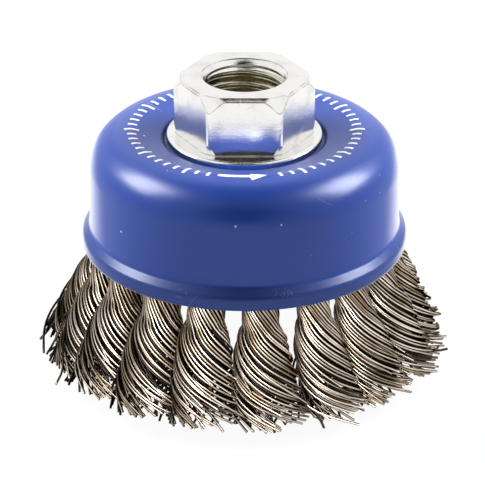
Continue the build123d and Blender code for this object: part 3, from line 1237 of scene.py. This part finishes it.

# %% [markdown]
# The wire is bare spring steel. It looks cream where it catches the light and almost black in the gaps, and
# no two wires are quite alike. Each wire carries a tone of its own, its seat in the bundle, a number that
# runs from root to tip, and how far its skin lies open to the outside. The finish reads all four: some
# wires are browner, painted shade darkens the flanks and the inner wires, and towards the tips that painted
# shade lifts from the inner wires again.

# %% Wire finish
WIRE_PALE = (0.98, 0.865, 0.735, 1)
WIRE_BROWN = (0.3, 0.22, 0.145, 1)
WIRE_SHADE_COLOUR = (0.012, 0.01, 0.008, 1)
WIRE_GLANCE = (0.08, 0.07, 0.06, 1)
BROWN_TONE = 0.85
BROWN_PATCH = 0.5
BROWN_EDGE = (0.4, 0.7)
INNER_SEAT = (0.99, 0.93)
SHADE_LIFT_END = (0.8, 0.97)
SHADE_LIFT_SHARE = 0.6
FLANK_EDGE = (0.82, 0.5)
WIRE_SHADE_STRENGTH = 0.98
WIRE_ROUGHNESS = (0.33, 0.47)
WIRE_GRAIN = 6000
WIRE_DEPTH = 0.008 * MM


def wire_finish():
    """Cream steel, brown in places, with painted shade on its flanks and inside the bundle."""
    material, tree, shader = new_finish("knot_wire")
    brown = stored(tree, "tone") * BROWN_TONE + patches(tree, BROWN_EDGE, scale=180, detail=3) * BROWN_PATCH
    # Painted shade: the inner wires and the flanks of each wire are darkened, and on the inner wires it
    # lifts towards the tips.
    shade_lift = fade(tree, stored(tree, "along"), *SHADE_LIFT_END) * SHADE_LIFT_SHARE
    inside = fade(tree, stored(tree, "seat"), *INNER_SEAT) * (1 - shade_lift)
    wire_shade = inside.at_least(fade(tree, stored(tree, "open_side"), *FLANK_EDGE))
    colour = blend(tree, brown.at_most(1), WIRE_PALE, WIRE_BROWN)
    fill(tree, shader, {
        "Base Color": blend(tree, wire_shade * WIRE_SHADE_STRENGTH, colour, WIRE_SHADE_COLOUR),
        "Roughness": uneven(tree, WIRE_ROUGHNESS, scale=800),
        "Normal": bump(tree, noise(tree, WIRE_GRAIN), WIRE_DEPTH),
        "Metallic": 1,
        "Specular Tint": WIRE_GLANCE,
    })
    return material


wire_steel = wire_finish()
print("finish:", wire_steel.name)

# %% [markdown]
# A knot is a bundle of wires that is bent double over the disc, pushed out of the cup and twisted. Below
# the lip the bundle opens like a broom, and the wires turn ever flatter until they end near the floor. A
# particle system could comb such wires, but a formula says it better: each wire has a seat in the bundle
# and turns about the bundle's axis as it goes down. Geometry Nodes hold that formula in one tree, and
# eighteen pieces use it with their own angle and seed.

# %% Sizes of a knot
KNOT_SIZES = {
    "Rings": 5,
    "Steps": 40,
    "Sides": 6,
    "Wire Radius": 0.23 * MM,
    "Root Height": 33.0 * MM,
    "Lip Height": lip_z,
    "Lip Radius": 24.6 * MM,
    "Lean": 0.275,
    "Flare": 0.0042 / MM,
    "Drift": 1.5 * MM,
    "Bundle Radius": 3.15 * MM,
    "Spread": 2.15,
    "Twist": 7.6,
    "Free End": 0.06,
    "Tip Trim": 0.07,
    "Ragged": 0.35,
    "Stray Share": 0.07,
    "Stray Reach": 5.5 * MM,
    "Loop Wires": 30,
    "Loop Steps": 12,
    "Loop Radius": 21.25 * MM,
    "Loop Height": 37.3 * MM,
    "Loop Bend": 3.0 * MM,
    "Loop Bundle": 1.65 * MM,
    "Loop Leg": 3.6 * MM,
    "Knot Angle": 0.0,
    "Seed": 1,
}
print("knot:", KNOT_SIZES["Rings"], "rings of wires of", KNOT_SIZES["Wire Radius"] * 2 / MM, "mm")

# %% [markdown]
# The tree starts from bare points, one for each wire. A straight line is put on every point, and then the
# line's own points are sent to where the formula says. `bundle_lines` does the first half for the wires of
# the knot and for the loops over the disc. The number of each wire is stored before the lines are made
# real, because it is lost after. The lines also store the heading out of the bundle. Once they have a skin,
# `open_side` compares it with the skin's own.

# %% Lines for a bundle
WIRE_NUMBER = "wire"
OUTER_HEADING = "outer_heading"


def keep(tree, geometry, numbers):
    """Stores named numbers on the points, for a later step or for the finish."""
    for name, number in numbers.items():
        values = {"Geometry": geometry, "Name": name, "Value": number}
        geometry = result(tree, "GeometryNodeStoreNamedAttribute", values, data_type="FLOAT")
    return geometry


def kept(tree, name):
    """A number that an earlier step stored on the points."""
    return Field(tree, result(tree, "GeometryNodeInputNamedAttribute", {"Name": name}, data_type="FLOAT"))


def bundle_lines(tree, count, steps):
    """So many lines of so many points, with each line's number stored on them."""
    points = result(tree, "GeometryNodePoints", {"Count": count})
    numbered = keep(tree, points, {WIRE_NUMBER: result(tree, "GeometryNodeInputIndex")})
    line = result(tree, "GeometryNodeCurvePrimitiveLine")
    dotted = result(tree, "GeometryNodeResampleCurve", {"Curve": line, "Count": steps})
    copies = {"Points": numbered, "Instance": dotted}
    return real(tree, result(tree, "GeometryNodeInstanceOnPoints", copies))


def wire_mesh(tree, lines, radius, sides):
    """Round wires along lines, with closed ends."""
    ring = result(tree, "GeometryNodeCurvePrimitiveCircle", {"Resolution": sides, "Radius": radius})
    swept = {"Curve": lines, "Profile Curve": ring, "Fill Caps": True}
    return result(tree, "GeometryNodeCurveToMesh", swept)


def open_side(tree):
    """How far a wire's skin faces away from the middle of its bundle: 1 outside, 0 on its flanks."""
    outwards = kept(tree, OUTER_HEADING)
    x, y, _ = axes(tree, result(tree, "GeometryNodeInputNormal"))
    return x * outwards.cos() + y * outwards.sin()


def round_axis(tree, geometry, radial, sideways, z, turn):
    """Puts the points at a radius, a sideways step and a height, turned about the spindle axis."""
    x = radial * turn.cos() - sideways * turn.sin()
    y = radial * turn.sin() + sideways * turn.cos()
    return moved(tree, geometry, vector(tree, x, y, z))


print("helpers: keep, kept, bundle_lines, wire_mesh, open_side, round_axis")

# %% [markdown]
# The wires are packed six round one, twelve round those, and so on, in rings that stand closer together
# towards the outside, which makes the bundle as even as a rope. `packed_seat` turns a wire's number into
# its ring and its angle there. `wire_end` says where a wire is cut: those on the outside of the brush are
# shorter, and luck makes the ends ragged. What a wire owes to luck is drawn by name, so that each draw
# keeps its own random numbers.

# %% Seats and ends of the wires
GOLDEN_ANGLE = math.pi * (3 - math.sqrt(5))
ROUNDING = 0.001
OUTER_CROWDING = 1.6
TURN_AT_END = 0.86
RAGGED_POWER = 4


def first_wire(ring):
    """The number of the first wire in a ring, after one in the middle and six more in each ring."""
    return ring * (ring - 1) * 3 + 1


def packed_seat(wire, rings):
    """A wire's share of the bundle's radius, and its angle. The root undoes `first_wire`."""
    ring = (((wire * 12 - 3).at_least(0) ** 0.5 + 3 + ROUNDING) / 6).reckon("FLOOR")
    angle = (wire - first_wire(ring)) / (ring * 6).at_least(1) * (2 * math.pi)
    return 1 - (1 - ring / rings) ** OUTER_CROWDING, angle + ring * GOLDEN_ANGLE


def wire_end(size, seat, start, chance):
    """How much of its way a wire goes before it is cut."""
    outward = seat * (start + size["Twist"] * TURN_AT_END).cos()
    return 1 - outward.at_least(0) * size["Tip Trim"] - chance("cut") ** RAGGED_POWER * size["Ragged"]


print("seats:", first_wire(KNOT_SIZES["Rings"] + 1), "wires in a knot")

# %% [markdown]
# Here is the formula. A wire's height falls from root to tip, fast at first and slower near the floor,
# while its turn goes on evenly: that is what makes the lower part lie flat. A little below the lip the
# bundle opens, more sideways than outwards. Every wire frays a little, a few strays leave the bundle near
# their ends, and the core hangs lowest.

# %% Path of a wire
FLATTEN = 1.35
SPREAD_POWER = 0.55
SPREAD_BELOW = 4.5 * MM
SQUASH = 0.3
TIP_HEIGHT = 2.9 * MM
CORE_DROP = 2.3 * MM
WOBBLE = 0.2 * MM
WOBBLE_TURNS = 7
TWIST_SLACK = 0.02
FRAY_REACH = 0.32
FRAY_TURN = 0.45
STRAY_UNWIND = 0.35


def knot_wires(size, along, seat, start, chance):
    """Where a knot's wires are, so far along their way: radius, sideways step, height and turn."""
    stray = size["Stray Share"].above(chance("stray"))
    frayed = along**2
    at_end = frayed**2
    slack = chance("slack") * TWIST_SLACK + (1 - TWIST_SLACK / 2)
    twist = size["Twist"] * slack * (1 - stray * chance("unwind") * at_end * STRAY_UNWIND)
    fall = 1 - (1 - along) ** FLATTEN
    z = size["Root Height"] - (size["Root Height"] - TIP_HEIGHT) * fall - (1 - seat) * at_end * CORE_DROP
    below = size["Lip Height"] - z
    share = (below - SPREAD_BELOW).at_least(0) / (size["Lip Height"] - SPREAD_BELOW)
    bundle = size["Bundle Radius"] * ((size["Spread"] - 1) * share**SPREAD_POWER + 1)
    loose = 1 + (chance("fray") - 0.5) * frayed * FRAY_REACH
    reach = seat * bundle * loose + stray * at_end * chance("reach") * size["Stray Reach"]
    turn = start + twist * along + (chance("turn") - 0.5) * frayed * FRAY_TURN
    sway = (chance("sway") * (2 * math.pi) + along * WOBBLE_TURNS).sin() * along * WOBBLE
    centre = size["Lip Radius"] + size["Lean"] * below + size["Flare"] * below * below
    radial = centre + reach * turn.cos() * (1 - share * SQUASH) + sway
    sideways = size["Drift"] * share * share + reach * turn.sin() + sway
    return radial, sideways, z, turn


print("path: a wire turns", round(KNOT_SIZES["Twist"] / (2 * math.pi), 1), "times on its way down")

# %% [markdown]
# Inside the cup the bundle is bent double over the rim of the disc. These loops are plain: up one leg,
# round a half circle and down the other leg. Their wires sit in the bundle like seeds in a sunflower, each
# one a golden angle from the last, which fills a circle evenly with any number of them.

# %% Loops over the disc
def loop_wires(size, along, wire):
    """Where the wires of a loop are, so far along their way: radius, sideways step and height."""
    seat = ((wire + 0.5) / size["Loop Wires"]) ** 0.5 * size["Loop Bundle"]
    aside = wire * GOLDEN_ANGLE
    bend = size["Loop Bend"] + seat * aside.cos()
    half_circle = size["Loop Bend"] * math.pi
    gone = along * (size["Loop Leg"] * 2 + half_circle) - size["Loop Leg"]
    turn = (gone / size["Loop Bend"]).at_least(0).at_most(math.pi)
    drop = (gone * -1).at_least(gone - half_circle).at_least(0)
    radial = size["Loop Radius"] - bend * turn.cos()
    return radial, seat * aside.sin(), size["Loop Height"] + bend * turn.sin() - drop


print("loops:", KNOT_SIZES["Loop Wires"], "wires bent over the disc in each knot")

# %% [markdown]
# The tree puts the formulas to work. Nothing holds the last stretch of a wire, so there it keeps its
# direction and sticks out straight: the formula is asked twice, a small step apart, and the line goes on
# through both answers. At the end the helper numbers are removed, and only those that the finish reads stay
# on the mesh.

# %% Tree of a knot
FREE_STEP = 0.01
DRAWS_PER_KNOT = 20
DRAWS = {
    "slack": 1,
    "stray": 2,
    "cut": 3,
    "fray": 5,
    "reach": 6,
    "turn": 7,
    "tone": 8,
    "unwind": 9,
    "sway": 10,
}


def knot_tree():
    """The tree of one knot with its loops, and the identifiers of its inputs."""
    tree, sockets, size = new_maker("twisted_knot", KNOT_SIZES)
    along = Field(tree, place(tree, "GeometryNodeSplineParameter").outputs["Factor"])
    wire = kept(tree, WIRE_NUMBER)

    def chance(draw):
        """A number from 0 to 1 that is fixed for each wire, knot and draw. Output 1 is for numbers."""
        numbers = {"ID": wire, "Seed": size["Seed"] * DRAWS_PER_KNOT + DRAWS[draw]}
        return Field(tree, place(tree, "FunctionNodeRandomValue", numbers).outputs[1])

    seat, start = packed_seat(wire, size["Rings"])
    end = wire_end(size, seat, start, chance)
    gone = along * end
    held = gone.at_most(end - size["Free End"])
    here = knot_wires(size, held, seat, start, chance)
    behind = knot_wires(size, held - FREE_STEP, seat, start, chance)
    run = (gone - held) / FREE_STEP
    radial, sideways, z, turn = [h + (h - b) * run for h, b in zip(here, behind)]
    lines = bundle_lines(tree, first_wire(size["Rings"] + 1), size["Steps"])
    lines = keep(tree, lines, {"along": along, "tone": chance("tone"), "seat": seat})
    lines = keep(tree, lines, {OUTER_HEADING: turn + size["Knot Angle"]})
    lines = round_axis(tree, lines, radial, sideways, z, size["Knot Angle"])
    loops = bundle_lines(tree, size["Loop Wires"], size["Loop Steps"])
    loops = keep(tree, loops, {"along": 0, "tone": chance("tone"), "seat": 1})
    loops = keep(tree, loops, {OUTER_HEADING: 0})
    loops = round_axis(tree, loops, *loop_wires(size, along, wire), size["Knot Angle"])
    wires = [wire_mesh(tree, part, size["Wire Radius"], size["Sides"]) for part in (loops, lines)]
    masked = keep(tree, joined(tree, *wires), {"open_side": open_side(tree)})
    for name in (WIRE_NUMBER, OUTER_HEADING):
        masked = result(tree, "GeometryNodeRemoveAttribute", {"Geometry": masked, "Name": name})
    end_tree(tree, result(tree, "GeometryNodeSetShadeSmooth", {"Geometry": masked}), wire_steel)
    return tree, sockets


twisted_knot, knot_sockets = knot_tree()
print("tree:", twisted_knot.name, "with", len(twisted_knot.nodes), "nodes")

# %% [markdown]
# Now the eighteen knots. Each is a modifier on an empty mesh. Its own sizes go in by the socket's
# identifier, and the result is settled into a plain mesh before it is handed over. A machine twists the
# knots one by one, so each one is a little thicker or tighter than the next, and stands up to two degrees
# or so off its place. The luck has a fixed seed, so every run makes the same brush.

# %% Ring of knots
KNOT_COUNT = 18
KNOT_PHASE = math.radians(-83.5)
KNOT_ERROR = math.radians(2.4)
KNOT_THICKNESS = (0.84, 1.06)
KNOT_TIGHTNESS = (0.94, 1.06)
KNOT_LUCK = 497980

luck = random.Random(KNOT_LUCK)
for knot_number in range(1, KNOT_COUNT + 1):
    knot = new_object(f"knot_wires_{knot_number:02d}", bpy.data.meshes.new("wires"))
    maker = knot.modifiers.new("twist", "NODES")
    maker.node_group = twisted_knot
    place_in_ring = KNOT_PHASE + (knot_number - 1) * 2 * math.pi / KNOT_COUNT
    maker[knot_sockets["Knot Angle"]] = place_in_ring + luck.uniform(-KNOT_ERROR, KNOT_ERROR)
    maker[knot_sockets["Bundle Radius"]] = KNOT_SIZES["Bundle Radius"] * luck.uniform(*KNOT_THICKNESS)
    maker[knot_sockets["Twist"]] = KNOT_SIZES["Twist"] * luck.uniform(*KNOT_TIGHTNESS)
    maker[knot_sockets["Seed"]] = knot_number
    wire_pieces.objects.link(knot)
    hand_over(settle(knot), "knot_wire", f"knot_{knot_number:02d}")
